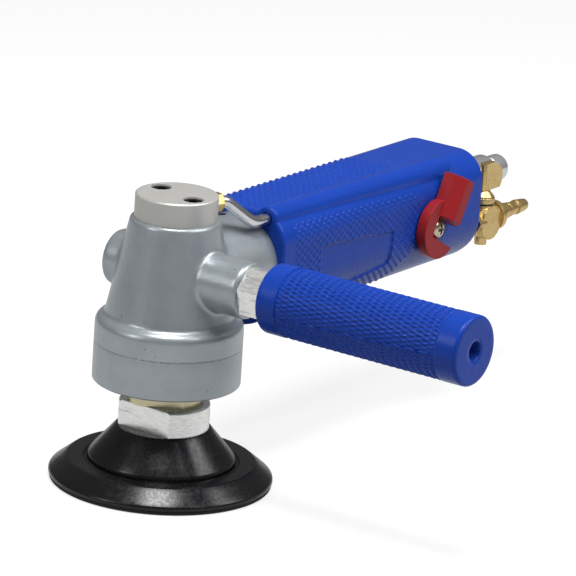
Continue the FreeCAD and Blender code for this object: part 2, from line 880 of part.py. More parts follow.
def side_handle_grip():
    """Moulded grip, turned about Z and laid along -Y."""
    length = side_grip_length
    edge = side_grip_edge
    k = edge * (1 - math.sqrt(0.5))
    band = side_grip_band_radius
    outer_band = length - side_grip_outer_band
    body = turned(
        (0, 0), (band - edge, 0), ((band - k, k), (band, edge)), (band, side_grip_inner_band),
        (side_grip_radius, side_grip_inner_band), (side_grip_radius, outer_band),
        (band, outer_band), (band, length - edge),
        ((band - k, length - k), (band - edge, length)), (0, length))
    core = Part.makeCylinder(stud_core_radius + fit_gap, stud_core_length + face_gap)
    hole = Part.makeCylinder(side_grip_hole_radius, length)
    grip = body.cut([core, hole])
    grip.rotate(V(0, 0, 0), AXIS_X, 90)
    grip.translate(V(0, grip_face, side_axis_height))
    return grip


# Main handle

def sleeve_outline(x, inset, drop=0.0, corner_gain=0.0):
    """Section of the sleeve: round belly, upright sides and a rounded top; the drop lowers the belly."""
    w = sleeve_half_width - inset
    belly = handle_axis_height - sleeve_belly_drop - drop
    top = handle_axis_height + sleeve_top - inset
    corner = sleeve_corner - inset + corner_gain
    k = corner * (1 - math.sqrt(0.5))

    def p(y, z):
        return V(x, y, z)
    return wire(
        p(-w, belly), (p(0, belly - w), p(w, belly)), p(w, top - corner),
        (p(w - k, top - k), p(w - corner, top)), p(-w + corner, top),
        (p(-w + k, top - k), p(-w, top - corner)))


def sleeve_bar(inset, x0, x1):
    return Part.Face(sleeve_outline(x0, inset)).extrude(AXIS_X * (x1 - x0))


def sleeve_end():
    """Rear end of the sleeve: top and sides draw in while the belly line runs on."""
    first = sleeve_outline(sleeve_inner_rear, 0)
    last = sleeve_outline(sleeve_rear, rear_inset, rear_inset, rear_corner_gain)
    return Part.makeLoft([first, last], True, True)


def sleeve_rib():
    rear_radius = rib_radius + rib_swell
    end = V(rib_end - rear_radius, rib_y - rib_shift, tube_height - rib_sink)
    first = Part.Wire(Part.makeCircle(rib_radius, V(sleeve_front, rib_y, tube_height), AXIS_X))
    last = Part.Wire(Part.makeCircle(rear_radius, end, AXIS_X))
    return Part.makeLoft([first, last], True).fuse(Part.makeSphere(rear_radius, end))


def sleeve_rooms():
    """Hollows of the sleeve between its front wall, its webs and its rear wall."""
    stations = [sleeve_front, first_web, second_web, block_rear - 2 * sleeve_web, sleeve_inner_rear]
    rooms = []
    for k in range(len(stations) - 1):
        rooms.append(sleeve_bar(sleeve_wall, stations[k] + sleeve_web, stations[k + 1]))
    return rooms


def panel_cut():
    """Shallow smooth panel on the near side of the sleeve."""
    y = -sleeve_half_width - sleeve_wall

    def p(x, rise):
        return V(x, y, handle_axis_height + rise)
    middle = (panel_front + panel_rear) / 2
    low = panel_front_bottom + (panel_rear_bottom - panel_front_bottom) / 4
    outline = wire(
        p(panel_front, panel_front_bottom), (p(middle, low), p(panel_rear, panel_rear_bottom)),
        p(panel_rear, panel_rear_top), p(panel_front, panel_front_top))
    window = Part.Face(outline).extrude(AXIS_Y * sleeve_half_width)
    skin = sleeve_bar(0, panel_front, panel_rear).cut(sleeve_bar(panel_depth, panel_front, panel_rear))
    return skin.common(window)


def handle_sleeve():
    body = sleeve_bar(0, sleeve_front, sleeve_inner_rear).fuse([sleeve_end(), sleeve_rib()]).removeSplitter()
    neck = along_x(neck_radius + mould_gap, 0, handle_axis_height, sleeve_front, sleeve_front + sleeve_web)
    core = along_x(handle_tube_radius + mould_gap, 0, handle_axis_height, neck_end, block_front)
    block = along_x(block_radius + mould_gap, 0, handle_axis_height, block_front, block_rear)
    channel = water_line(tube_radius + mould_gap)
    mouth = along_x(rib_mouth_radius, rib_y, tube_height, sleeve_front, sleeve_front + rib_mouth_depth)
    lever_hole = rod(
        plug_radius + mould_gap, V(throttle_x, 0, throttle_height),
        V(throttle_x, -2 * sleeve_half_width, throttle_height))
    inlet = along_x(inlet_thread_radius + mould_gap, inlet_y, inlet_height, sleeve_inner_rear, sleeve_rear)
    muffler = along_x(muffler_radius + fit_gap, exhaust_y, exhaust_height, sleeve_inner_rear, sleeve_rear)
    cuts = sleeve_rooms() + [neck, core, block, channel, mouth, lever_hole, inlet, muffler, panel_cut()]
    return body.cut(cuts)


def handle_tube():
    tube_inner = handle_tube_radius - handle_tube_wall
    return tube(
        handle_tube_radius, tube_inner, V(neck_cavity_rear, 0, handle_axis_height),
        V(block_front, 0, handle_axis_height))


def air_pipe():
    return tube(
        air_pipe_radius, air_pipe_radius - air_pipe_wall,
        V(neck_cavity_front - air_pipe_seat, air_pipe_y, air_pipe_height),
        V(block_front, air_pipe_y, air_pipe_height))


def valve_block():
    spigot = handle_tube_radius - handle_tube_wall - fit_gap
    body = along_x(block_radius, 0, handle_axis_height, block_front, block_rear)
    body = body.fuse(along_x(spigot, 0, handle_axis_height, block_front - block_spigot, block_front))
    pipe_seat = along_x(
        air_pipe_radius + fit_gap, air_pipe_y, air_pipe_height, block_front - block_spigot, block_front)
    supply = along_x(air_pipe_radius - air_pipe_wall, air_pipe_y, air_pipe_height, block_front, throttle_x)
    intake = along_x(inlet_bore_radius, inlet_y, inlet_height, throttle_x, block_rear)
    thread = along_x(
        inlet_thread_radius + fit_gap, inlet_y, inlet_height, block_rear - inlet_thread_depth, block_rear)
    exhaust = along_x(exhaust_radius, exhaust_y, exhaust_height, block_front - block_spigot, block_rear)
    plug = rod(
        plug_radius, V(throttle_x, plug_inner_y, throttle_height),
        V(throttle_x, -block_radius, throttle_height))
    return body.removeSplitter().cut([pipe_seat, supply, intake, thread, exhaust, plug])


def plug_seal_places():
    return (plug_inner_y - plug_seal_inset, plug_outer_y + plug_seal_inset)


def throttle_plug():
    """Rotary valve plug; its cross port lies upright at rest, which shuts the air off."""
    radius = plug_radius - run_gap
    inner = V(throttle_x, plug_inner_y - face_gap, throttle_height)
    outer = V(throttle_x, plug_outer_y, throttle_height)
    stem = rod(plug_stem_radius, outer, V(throttle_x, lever_inner_y, throttle_height))
    body = rod(radius, inner, outer).fuse(stem).removeSplitter()
    middle = V(throttle_x, air_pipe_y, throttle_height)
    port = rod(plug_port_radius, middle - AXIS_Z * plug_radius, middle + AXIS_Z * plug_radius)
    screw = rod(
        lever_screw_radius + fit_gap, V(throttle_x, lever_inner_y, throttle_height),
        V(throttle_x, lever_seat_y + lever_screw_length + face_gap, throttle_height))
    cuts = [port, screw]
    for y in plug_seal_places():
        cuts.append(tube(
            2 * plug_radius, radius - 2 * plug_seal_section,
            V(throttle_x, y - plug_seal_section, throttle_height),
            V(throttle_x, y + plug_seal_section, throttle_height)))
    return body.cut(cuts)


def plug_o_rings():
    middle = plug_radius - run_gap - plug_seal_section
    rings = [
        Part.makeTorus(middle, plug_seal_section - fit_gap, V(throttle_x, y, throttle_height), AXIS_Y)
        for y in plug_seal_places()]
    return Part.makeCompound(rings)


def throttle_lever():
    """Hub with a notch open to the rear and a bevelled tab, drawn upright and then leaned back."""
    seat_face = V(0, -lever_seat_thickness, 0)
    reach = 2 * lever_hub_radius
    hub = rod(lever_hub_radius, V(0, 0, 0), V(0, -lever_hub_thickness, 0))
    notch = Part.makeBox(
        reach, lever_hub_thickness, 2 * lever_notch_half,
        V(-lever_notch_front, -lever_hub_thickness, -lever_notch_half))
    seat = rod(lever_seat_radius, V(0, 0, 0), seat_face)
    w = lever_tab_half_width
    out = -lever_tab_thickness
    z = lever_tab_start
    section = wire(
        V(-w, 0, z), V(w, 0, z), V(w, out, z), V(0, out, z), V(-w, out + lever_tab_bevel, z))
    tab = Part.Face(section).extrude(AXIS_Z * (lever_tab_reach - lever_tab_start))
    lever = hub.cut(notch).fuse([seat, tab]).removeSplitter()
    lever = lever.cut(rod(lever_screw_radius + run_gap, V(0, 0, 0), seat_face))
    lever.rotate(V(0, 0, 0), AXIS_Y, lever_tilt)
    lever.translate(V(throttle_x, lever_inner_y, throttle_height))
    return lever


def lever_screw():
    seat = V(throttle_x, lever_seat_y, throttle_height)
    top = seat - AXIS_Y * lever_screw_head_height
    shank = rod(lever_screw_radius, seat, seat + AXIS_Y * lever_screw_length)
    head = rod(lever_screw_head_radius, seat, top)
    screw = head.fuse(shank).removeSplitter()
    w = lever_screw_slot_width
    long = lever_screw_slot_length
    slots = []
    for wide, tall in ((w, long), (long, w)):
        corner = top + V(-wide / 2, 0, -tall / 2)
        slots.append(Part.makeBox(wide, lever_screw_slot_depth, tall, corner))
    return screw.cut(slots)


# Air inlet and exhaust

def inlet_collar():
    thread = along_x(inlet_thread_radius, inlet_y, inlet_height, block_rear - inlet_thread_depth, sleeve_rear)
    collar = along_x(inlet_collar_radius, inlet_y, inlet_height, sleeve_rear, collar_end)
    bore = along_x(inlet_bore_radius, inlet_y, inlet_height, block_rear - inlet_thread_depth, collar_end)
    seat = along_x(inlet_groove_radius + fit_gap, inlet_y, inlet_height, collar_end - nipple_seat, collar_end)
    return thread.fuse(collar).removeSplitter().cut([bore, seat])


def inlet_nipple():
    shank_end = collar_end + inlet_groove_length
    end = shank_end + nipple_length
    shank = along_x(inlet_groove_radius, inlet_y, inlet_height, collar_end - nipple_seat + fit_gap, shank_end)
    plug = along_x(nipple_radius, inlet_y, inlet_height, shank_end, end - nipple_edge)
    nose = Part.makeCone(
        nipple_radius, nipple_radius - nipple_edge, nipple_edge, V(end - nipple_edge, inlet_y, inlet_height), AXIS_X)
    bore = along_x(nipple_bore_radius, inlet_y, inlet_height, collar_end - nipple_seat, end)
    return shank.fuse([plug, nose]).removeSplitter().cut(bore)


def inlet_strainer():
    end = collar_end - nipple_seat
    outer = inlet_bore_radius - fit_gap
    cup = along_x(outer, inlet_y, inlet_height, end - strainer_length, end)
    room = along_x(outer - strainer_wall, inlet_y, inlet_height, end - strainer_length + strainer_wall, end)
    return cup.cut(room)


def exhaust_muffler():
    body = along_x(muffler_radius, exhaust_y, exhaust_height, sleeve_inner_rear, sleeve_rear)
    face = sleeve_rear + muffler_flange_thickness
    flange = along_x(muffler_radius + muffler_flange, exhaust_y, exhaust_height, sleeve_rear, face)
    recess = along_x(muffler_recess_radius, exhaust_y, exhaust_height, face - muffler_recess_depth, face)
    return body.fuse(flange).removeSplitter().cut(recess)


# Water cock

def cock_centre():
    return V(cock_x, cock_y, cock_height)


def water_cock():
    c = cock_centre()
    tail_start = V(sleeve_rear, cock_y, cock_height)
    low = c - AXIS_Z * cock_body_drop
    half = AXIS_Y * (cock_body_length / 2)
    barrel = rod(cock_body_radius, low - half, low + half)
    tail = hexagon(cock_tail_across_flats, tail_start, tail_start + AXIS_X * cock_tail_length)
    outlet_end = c + AXIS_X * cock_outlet_reach
    outlet = rod(cock_outlet_radius, c, outlet_end)
    flange = rod(cock_flange_radius, outlet_end - AXIS_X * cock_flange_width, outlet_end)
    stub = rod(cock_stub_radius, low, c - AXIS_Z * cock_stub_reach)
    stem_boss = rod(cock_boss_radius, c, c + AXIS_Z * cock_boss_reach)
    body = barrel.fuse([tail, outlet, flange, stub, stem_boss]).removeSplitter()
    water = rod(cock_bore_radius, tail_start, outlet_end)
    socket = rod(tube_radius + fit_gap, tail_start, tail_start + AXIS_X * cock_tube_socket)
    plug = rod(cock_plug_radius, c - AXIS_Z * cock_plug_drop, c + AXIS_Z * cock_boss_reach)
    spot_face = rod(
        cock_gland_radius + face_gap, c + AXIS_Z * cock_boss_reach,
        c + AXIS_Z * (cock_boss_reach + cock_body_radius))
    seat = rod(barb_seat_radius + fit_gap, outlet_end - AXIS_X * barb_seat_depth, outlet_end)
    return body.cut([water, socket, plug, spot_face, seat])


def cock_seal():
    low = cock_centre() + AXIS_Z * cock_boss_reach
    return tube(cock_seal_radius, cock_stem_radius + run_gap, low, low + AXIS_Z * cock_seal_thickness)


def cock_gland():
    low = cock_centre() + AXIS_Z * (cock_boss_reach + cock_seal_thickness)
    return tube(cock_gland_radius, cock_stem_radius + run_gap, low, low + AXIS_Z * cock_gland_height)


def cock_wing(low):
    """Upright flat wing, longer towards the outlet, with a rounded heel and a bowed end."""
    c = cock_centre() + AXIS_Z * low
    half = cock_wing_thickness / 2
    heel = half - cock_wing_short

    def p(x, z):
        return c + V(x, -half, z)
    high = cock_wing_height
    shoulder = p(cock_wing_foot, cock_wing_shoulder)
    bow = p(cock_wing_long, (high + cock_wing_shoulder) / 4)
    outline = wire(p(heel, 0), p(cock_wing_foot, 0), (bow, shoulder), p(cock_wing_foot / 2, high), p(heel, high))
    plate = Part.Face(outline).extrude(AXIS_Y * cock_wing_thickness)
    return plate.fuse(rod(half, c + AXIS_X * heel, c + V(heel, 0, high)))


def cock_key():
    """Plug, stem and flat wing of the cock in one piece; the wing lies along the water's way when open."""
    c = cock_centre()
    gland_top = cock_boss_reach + cock_seal_thickness + cock_gland_height
    wing_low = gland_top + cock_neck_height
    plug = rod(
        cock_plug_radius - run_gap, c - AXIS_Z * (cock_plug_drop - face_gap),
        c + AXIS_Z * (cock_boss_reach - face_gap))
    stem = rod(cock_stem_radius, c, c + AXIS_Z * wing_low)
    skirt = Part.makeCone(
        cock_skirt_radius, cock_stem_radius, cock_neck_height - face_gap, c + AXIS_Z * (gland_top + face_gap))
    water = rod(cock_bore_radius, c - AXIS_X * cock_body_radius, c + AXIS_X * cock_body_radius)
    return plug.fuse([stem, skirt, cock_wing(wing_low)]).removeSplitter().cut(water)


def hose_barb():
    """Barb turned about Z and laid along +X."""
    bore = cock_bore_radius
    steps = [(bore, -barb_seat_depth), (barb_seat_radius, -barb_seat_depth), (barb_seat_radius, 0)]
    steps += [(barb_root_radius, 0), (barb_root_radius, barb_root_length)]
    z = barb_root_length
    for k in range(barb_count):
        steps.append((barb_neck_radius, z))
        z += barb_neck_length
        steps.append((barb_neck_radius, z))
        steps.append((barb_land_radius, z))
        z += barb_land_length
        steps.append((barb_land_radius, z))
        z += barb_taper_length
        steps.append((barb_taper_radius, z))
    z += barb_nose_length
    steps += [(barb_neck_radius, z), (bore, z)]
    barb = turned(*steps)
    barb.rotate(V(0, 0, 0), AXIS_Y, 90)
    barb.translate(V(barb_start, cock_y, cock_height))
    return barb


def lower_bearing(part):
    return rotor_bearing(part, ring_gear_top)


def upper_bearing(part):
    return rotor_bearing(part, motor_top - rotor_bearing_width)


nodes = {
    "hook_face": hook_face,
    "backing_pad": backing_pad,
    "pad_hub": pad_hub,
    "spindle": spindle,
    "spindle_collar": spindle_collar,
    "spindle_bearing_outer": lambda: spindle_bearing(bearing_outer),
    "spindle_bearing_inner": lambda: spindle_bearing(bearing_inner),
    "planet_pins": planet_pins,
    "planet_gear_1": lambda: planet_gear(0),
    "planet_gear_2": lambda: planet_gear(1),
    "planet_gear_3": lambda: planet_gear(2),
    "sun_gear": sun_gear,
    "ring_gear": ring_gear,
    "clamp_ring": clamp_ring,
    "lower_end_plate": lower_end_plate,
    "upper_end_plate": upper_end_plate,
    "motor_cylinder": motor_cylinder,
    "rotor": rotor,
    "rotor_vanes": rotor_vanes,
    "lower_bearing_outer": lambda: lower_bearing(bearing_outer),
    "lower_bearing_inner": lambda: lower_bearing(bearing_inner),
    "upper_bearing_outer": lambda: upper_bearing(bearing_outer),
    "upper_bearing_inner": lambda: upper_bearing(bearing_inner),
    "motor_housing": motor_housing,
    "oil_plug": oil_plug,
    "water_cap": water_cap,
    "cap_screws": cap_screws,
    "cap_o_ring": cap_o_ring,
    "water_feed_tube": water_feed_tube,
    "water_elbow": water_elbow,
    "water_tube": water_tube,
    "side_handle_stud": side_handle_stud,
    "side_handle_grip": side_handle_grip,
    "handle_sleeve": handle_sleeve,
    "handle_tube": handle_tube,
    "air_pipe": air_pipe,
    "valve_block": valve_block,
    "throttle_plug": throttle_plug,
    "plug_o_rings": plug_o_rings,
    "throttle_lever": throttle_lever,
    "lever_screw": lever_screw,
    "inlet_collar": inlet_collar,
    "inlet_nipple": inlet_nipple,
    "inlet_strainer": inlet_strainer,
    "exhaust_muffler": exhaust_muffler,
    "water_cock": water_cock,
    "cock_seal": cock_seal,
    "cock_gland": cock_gland,
    "cock_key": cock_key,
    "hose_barb": hose_barb,
}

os.makedirs("parts", exist_ok=True)
for node, make in nodes.items():
    make().exportStep("parts/" + node + ".step")
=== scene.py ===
import math

import bmesh
import bpy
import numpy as np
from mathutils import Matrix, Vector


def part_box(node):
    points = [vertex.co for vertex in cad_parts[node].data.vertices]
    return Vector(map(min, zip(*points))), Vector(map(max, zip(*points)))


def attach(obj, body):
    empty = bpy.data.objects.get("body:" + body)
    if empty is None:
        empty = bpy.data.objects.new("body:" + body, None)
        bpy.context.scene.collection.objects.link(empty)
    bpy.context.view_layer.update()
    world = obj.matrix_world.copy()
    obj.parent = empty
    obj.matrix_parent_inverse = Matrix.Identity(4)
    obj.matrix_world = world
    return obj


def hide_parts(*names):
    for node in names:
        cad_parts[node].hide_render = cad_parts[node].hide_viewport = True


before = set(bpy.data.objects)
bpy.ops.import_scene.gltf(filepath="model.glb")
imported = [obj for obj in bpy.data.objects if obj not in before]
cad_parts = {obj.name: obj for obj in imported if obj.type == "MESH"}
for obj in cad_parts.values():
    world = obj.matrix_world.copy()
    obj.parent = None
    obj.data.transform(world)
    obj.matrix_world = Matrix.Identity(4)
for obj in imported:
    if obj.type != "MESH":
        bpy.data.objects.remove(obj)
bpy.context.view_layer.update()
scene = bpy.context.scene
mm = 0.001
print("frame loaded:", len(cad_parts), "nodes")


def linear(hexColour):  # sRGB hex to linear RGBA
    parts = [int(hexColour[k:k + 2], 16) / 255 for k in (1, 3, 5)]
    return tuple(c / 12.92 if c <= 0.04045 else ((c + 0.055) / 1.055) ** 2.4 for c in parts) + (1.0,)


def addNode(tree, kind, settings=None, links=None):
    made = tree.nodes.new(kind)
    for key, value in (settings or {}).items():
        if key in made.inputs:
            made.inputs[key].default_value = value
        else:
            setattr(made, key, value)
    for key, source in (links or {}).items():
        tree.links.new(source, made.inputs[key])
    return made


def placePiece(name, mesh, body, material, standsFor):
    piece = bpy.data.objects.new(name, mesh)
    scene.collection.objects.link(piece)
    mesh.materials.clear()
    mesh.materials.append(material)
    mesh.polygons.foreach_set("use_smooth", [True] * len(mesh.polygons))
    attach(piece, body)
    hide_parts(standsFor)


def bakedMesh(piece):  # the mesh with its modifiers applied
    bpy.context.view_layer.update()
    graph = bpy.context.evaluated_depsgraph_get()
    return bpy.data.meshes.new_from_object(piece.evaluated_get(graph))


# What the finishes share: detail and roughness of their noise, the span of its values,
# and how the marks of use lean, in radians
noise = {
    "patch": (4.0, 0.6), "grain": (1.5, 0.5), "mark": (2.0, 0.5),
    "low": 0.25, "high": 0.75, "markFrom": 0.72, "markTo": 0.80, "markLean": (0.5, 0.9, 0.4),
}
firstColour, secondColour, mixedColour = 6, 7, 2  # colour sockets of the Mix node


def surface(name, colour, other, metallic, roughness, patch, grain, depth, spread=0.06, stretch=(1, 1, 1),
            specular=0.5, mark=None):
    # One layout for all finishes: slow colour patches, a fine grain in roughness and bump, and marks of use.
    # patch and grain are real sizes in mm, and depth is the grain's height in mm.
    # mark is (colour, size in mm, share of the surface, stretch).
    made = bpy.data.materials.new(name)
    made.use_nodes = True
    tree = made.node_tree
    tree.nodes.clear()
    place = addNode(tree, "ShaderNodeTexCoord")
    spot = addNode(tree, "ShaderNodeMapping", {"Scale": stretch}, {"Vector": place.outputs["Object"]})
    octaves, harsh = noise["patch"]
    patches = addNode(tree, "ShaderNodeTexNoise",
                      {"Scale": 1 / (patch * mm), "Detail": octaves, "Roughness": harsh},
                      {"Vector": place.outputs["Object"]})
    octaves, harsh = noise["grain"]
    fine = addNode(tree, "ShaderNodeTexNoise",
                   {"Scale": 1 / (grain * mm), "Detail": octaves, "Roughness": harsh},
                   {"Vector": spot.outputs["Vector"]})
    tint = addNode(tree, "ShaderNodeMix", {"data_type": "RGBA"}, {"Factor": patches.outputs["Fac"]})
    tint.inputs[firstColour].default_value = linear(colour)
    tint.inputs[secondColour].default_value = linear(other)
    rough = addNode(tree, "ShaderNodeMapRange",
                    {"From Min": noise["low"], "From Max": noise["high"],
                     "To Min": roughness - spread, "To Max": roughness + spread},
                    {"Value": fine.outputs["Fac"]})
    relief = addNode(tree, "ShaderNodeBump", {"Strength": 1.0, "Distance": depth * mm},
                     {"Height": fine.outputs["Fac"]})
    skin = tint.outputs[mixedColour]
    if mark:
        markColour, size, share, pull = mark
        lie = addNode(tree, "ShaderNodeMapping", {"Scale": pull, "Rotation": noise["markLean"]},
                      {"Vector": place.outputs["Object"]})
        octaves, harsh = noise["mark"]
        spots = addNode(tree, "ShaderNodeTexNoise",
                        {"Scale": 1 / (size * mm), "Detail": octaves, "Roughness": harsh},
                        {"Vector": lie.outputs["Vector"]})
        worn = addNode(tree, "ShaderNodeMapRange",
                       {"From Min": noise["markFrom"] - share, "From Max": noise["markTo"] - share},
                       {"Value": spots.outputs["Fac"]})
        marked = addNode(tree, "ShaderNodeMix", {"data_type": "RGBA"}, {"Factor": worn.outputs["Result"]})
        tree.links.new(skin, marked.inputs[firstColour])
        marked.inputs[secondColour].default_value = linear(markColour)
        skin = marked.outputs[mixedColour]
    shader = addNode(tree, "ShaderNodeBsdfPrincipled", {"Metallic": metallic, "Specular IOR Level": specular},
                     {"Base Color": skin, "Roughness": rough.outputs["Result"],
                      "Normal": relief.outputs["Normal"]})
    addNode(tree, "ShaderNodeOutputMaterial", None, {"Surface": shader.outputs["BSDF"]})
    return made


# Sand-cast aluminium, bead blasted: a blue-grey satin skin with a frosted grain and a few dark pits.
# The grain is drawn at 0.9 mm, three times the real bead marks, so that it shows.
castAluminium = surface("bead blasted cast aluminium", "#b0b7bb", "#8f969b", 0.55, 0.34, 14, 0.9, 0.016,
                        mark=("#767c80", 2.0, 0.015, (1, 1, 1)))
# Turned aluminium, warm anodise: soft sheen with faint turning rings
anodisedCap = surface("turned anodised aluminium", "#c3c2be", "#b6b5b0", 0.38, 0.43, 12, 0.5, 0.008,
                      stretch=(0.2, 0.2, 2.0))
# Drawn steel, bright zinc plate: pale and bright, broken by fine handling scratches
zincPlate = surface("bright zinc plated steel", "#f4f5f2", "#e6e7e4", 0.85, 0.33, 7, 1.2, 0.006, 0.10,
                    stretch=(0.4, 0.4, 2.5), mark=("#c4c6c4", 2.0, 0.10, (0.15, 0.15, 1.6)))
# Brass bar, turned: clean and warm
turnedBrass = surface("turned brass", "#d2bb86", "#c2a76e", 1.0, 0.44, 5, 0.4, 0.006, 0.08)
# Spindle collar, brass under a thin grey plate: pale straw
platedBrass = surface("plated brass", "#d2cbaa", "#bfb692", 0.85, 0.34, 6, 0.5, 0.006, 0.08)
# Brass forging, tumbled: duller, with brown patches
forgedBrass = surface("tumbled brass forging", "#d9c088", "#c2a364", 0.9, 0.34, 5, 0.7, 0.020, 0.10,
                      mark=("#8f7440", 2.5, 0.06, (1, 1, 1)))
# Stainless tube, drawn: bright along its length
drawnTube = surface("drawn stainless tube", "#dcdde0", "#c6c7ca", 1.0, 0.22, 8, 0.4, 0.004)
# Chrome on turned steel: bright, its reflections a little soft
chromePlate = surface("chrome plated steel", "#dcdee0", "#cccfd2", 0.8, 0.22, 9, 0.6, 0.003, 0.05)
# Nickel on steel: warm and bright, a little worn
nickelPlate = surface("nickel plated steel", "#cdc6b2", "#a8a08c", 0.95, 0.24, 3, 0.5, 0.006, 0.08,
                      mark=("#6f6a5c", 1.5, 0.06, (1, 1, 1)))
# Cap screws and plug, black oxide: nearly black and dull
blackOxide = surface("black oxide steel", "#0c0c0e", "#080809", 0.0, 0.5, 4, 0.4, 0.006, specular=0.15)
# Blue moulded PVC: even deep colour, satin, with a trace of mould texture and rubbed paler spots
bluePvc = surface("moulded blue PVC", "#1742a8", "#143a9a", 0.0, 0.28, 14, 3.0, 0.004, 0.03, specular=0.16,
                  mark=("#1d4ab0", 6, 0.02, (1, 1, 1)))
# Red moulded nylon: satin with slight flow marks
redNylon = surface("moulded red nylon", "#9a2428", "#8b1f24", 0.0, 0.34, 7, 0.5, 0.010, 0.06, specular=0.15,
                   mark=("#8a2025", 3, 0.04, (1, 1, 0.4)))
# Black moulded rubber: near black, waxy sheen, faint grey scuffs
blackRubber = surface("moulded black rubber", "#08080a", "#0c0c0d", 0.0, 0.27, 10, 1.4, 0.010, 0.08,
                      stretch=(1, 1, 0.5), specular=0.38, mark=("#1c1c1d", 3.0, 0.05, (1, 1, 0.35)))
# Hook fabric: short nylon hooks, read as a fuzzy dark nap about 1 mm apart
hookNap = surface("woven nylon hooks", "#17171a", "#26262a", 0.0, 0.85, 6, 1.0, 0.30, 0.05)
# Ground and hardened steel, inside the head
groundSteel = surface("ground hardened steel", "#9fa2a6", "#8f9296", 1.0, 0.30, 8, 0.5, 0.006)
# Machined aluminium, inside the handle
machinedAluminium = surface("machined aluminium", "#c4c6c9", "#b4b6ba", 1.0, 0.32, 9, 0.4, 0.006)
# Fibre laminate of the vanes: woven brown resin
fibreLaminate = surface("pressed fibre laminate", "#6e5233", "#5a4127", 0.0, 0.55, 3, 0.6, 0.02)
# Nitrile seals: black and smooth
sealNitrile = surface("moulded nitrile", "#141414", "#1b1b1b", 0.0, 0.45, 4, 0.5, 0.006)
# Muffler: sintered black plastic, grainy
sinteredPlastic = surface("sintered black plastic", "#1d1d1f", "#29292b", 0.0, 0.75, 3, 0.7, 0.10)
print("materials ready")

# Finish of each CAD node that stays, with its edge break in mm
finishes = {
    "hook_face": (hookNap, 0.3), "backing_pad": (blackRubber, 0.7), "pad_hub": (zincPlate, 0.35),
    "spindle": (groundSteel, 0), "spindle_collar": (platedBrass, 0.3), "clamp_ring": (castAluminium, 0.2),
    "spindle_bearing_outer": (groundSteel, 0), "spindle_bearing_inner": (groundSteel, 0),
    "planet_pins": (groundSteel, 0), "planet_gear_1": (groundSteel, 0), "planet_gear_2": (groundSteel, 0),
    "planet_gear_3": (groundSteel, 0), "sun_gear": (groundSteel, 0), "ring_gear": (groundSteel, 0),
    "lower_end_plate": (machinedAluminium, 0), "upper_end_plate": (machinedAluminium, 0),
    "motor_cylinder": (groundSteel, 0), "rotor": (groundSteel, 0), "rotor_vanes": (fibreLaminate, 0),
    "lower_bearing_outer": (groundSteel, 0), "lower_bearing_inner": (groundSteel, 0),
    "upper_bearing_outer": (groundSteel, 0), "upper_bearing_inner": (groundSteel, 0),
    "water_cap": (anodisedCap, 0.35), "cap_screws": (blackOxide, 0.35), "oil_plug": (blackOxide, 0.15),
    "cap_o_ring": (sealNitrile, 0),
    "water_feed_tube": (drawnTube, 0), "water_elbow": (turnedBrass, 0.3), "water_tube": (drawnTube, 0),
    "side_handle_stud": (zincPlate, 0.5), "handle_tube": (machinedAluminium, 0),
    "air_pipe": (machinedAluminium, 0), "valve_block": (machinedAluminium, 0),
    "throttle_plug": (turnedBrass, 0), "plug_o_rings": (sealNitrile, 0),
    "throttle_lever": (redNylon, 0.8), "inlet_collar": (chromePlate, 0.5), "inlet_nipple": (chromePlate, 0.4),
    "inlet_strainer": (turnedBrass, 0), "exhaust_muffler": (sinteredPlastic, 0.3),
    "water_cock": (forgedBrass, 0.5), "cock_seal": (sealNitrile, 0), "cock_gland": (turnedBrass, 0.4),
    "cock_key": (forgedBrass, 0.7), "hose_barb": (forgedBrass, 0.25),
}

# Edge breaks: points closer than weld, in mm, are joined, and edges that turn by more than the angle are rounded
edgeBreak = {"weld": 0.002, "rounds": 3, "angle": 28}

for nodeName, (finish, edge) in finishes.items():
    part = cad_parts[nodeName]
    part.data.materials.clear()
    part.data.materials.append(finish)
    if edge:
        weld = part.modifiers.new("weld", "WELD")
        weld.merge_threshold = edgeBreak["weld"] * mm
        broken = part.modifiers.new("edge break", "BEVEL")
        broken.width = edge * mm
        broken.segments = edgeBreak["rounds"]
        broken.limit_method = "ANGLE"
        broken.angle_limit = math.radians(edgeBreak["angle"])
print("CAD nodes finished:", len(finishes))


# Blue sleeve of the main handle, in mm, where the part has it; x runs to the rear
sleeve = {
    "front": 48.0, "rear": 217.0, "halfWidth": 25.5, "belly": 87.3, "top": 116.8, "corner": 14.0,
    "taper": 8.0, "inset": 5.0, "rearRound": 1.2, "frontRound": 1.6, "step": 0.45,
    "ribY": -15.0, "ribZ": 114.2, "ribRadius": 5.5, "ribEnd": 190.0, "ribFoot": 0.36,
    "ribSwell": 1.3, "ribDrop": 2.4, "ribShift": 1.7, "ribTip": 0.05, "ribMiss": -9.0,
    "neckRadius": 23.15, "neckZ": 91.0, "mouthRadius": 3.05, "mouthDepth": 3.0, "neckDepth": 3.0,
    "panelFront": 79.0, "panelRear": 136.0, "panelTop": (98.0, 93.2), "panelFoot": (73.0, 77.5),
    "panelDepth": 0.8, "panelEdge": 0.7,
    "knurlFront": 57.0, "topFront": 50.5, "knurlRear": 156.0, "knurlRearLow": 140.0,
    "cell": (4.7, 3.7), "sideHeight": 0.6, "topHeight": 0.65, "domePower": 1.3, "knurlFade": 2.0,
    "knurlLow": (62.0, 82.0), "topBlend": (111.0, 114.0), "ribClear": 1.2,
    "rimTurn": 0.8, "neckSides": 96, "mouthSides": 24, "rounds": 5, "sharp": 50,
}


